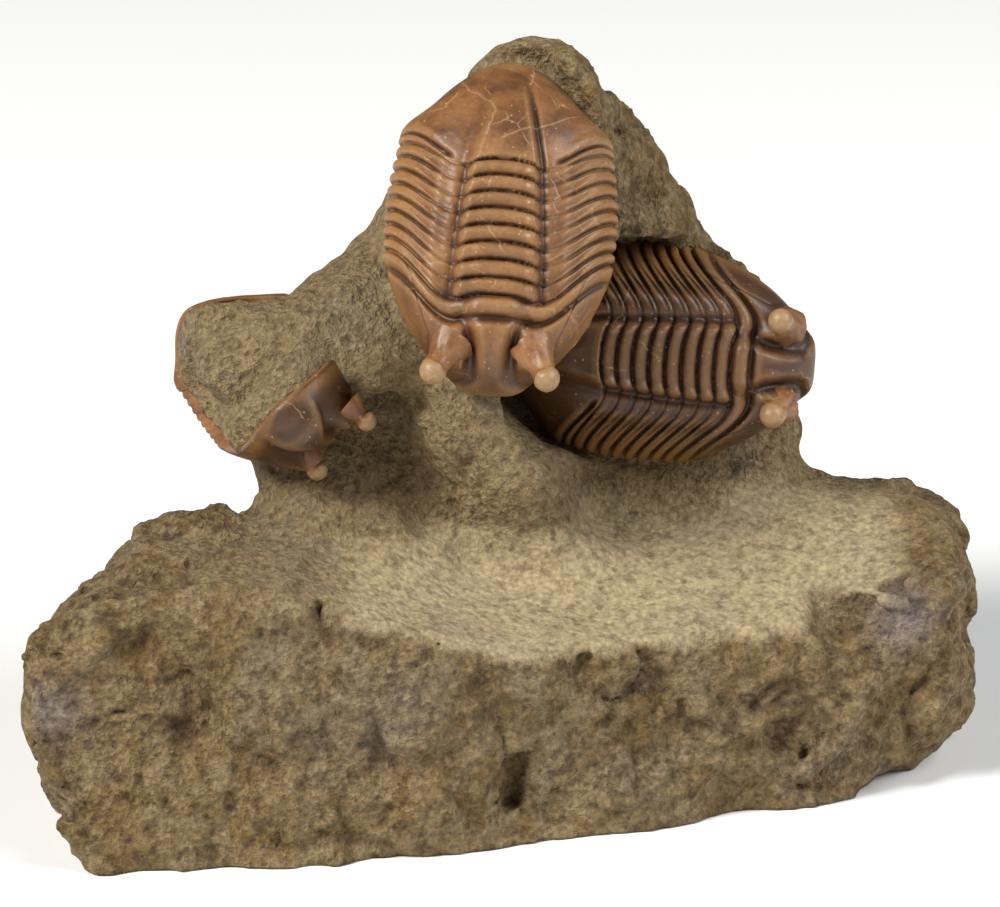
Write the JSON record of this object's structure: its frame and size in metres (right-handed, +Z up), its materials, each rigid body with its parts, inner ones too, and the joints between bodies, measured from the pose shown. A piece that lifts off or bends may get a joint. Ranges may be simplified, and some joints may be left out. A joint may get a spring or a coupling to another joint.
{
  "type": "trilobite fossil",
  "caption": "Prepared trilobite fossils with stalked eyes, standing proud on a rough pale limestone block with a dished front and a pointed peak.",
  "frame": {"origin": "on the flat underside of the block, near its middle; the block rests on this plane", "axes": "+X to the right along the block's long side, +Y to the back, +Z up; the backs of the upright and sideways animals face -Y"},
  "size_m": [0.2035, 0.1169, 0.1549],
  "materials": {
    "limestone": "rough, granular",
    "fossil_shell": "waxy, half gloss"
  },
  "bodies": {
    "root": {"matrix": "limestone", "trilobite_upright": "fossil_shell", "trilobite_sideways": "fossil_shell", "trilobite_curled": "fossil_shell"}
  },
  "joints": []
}
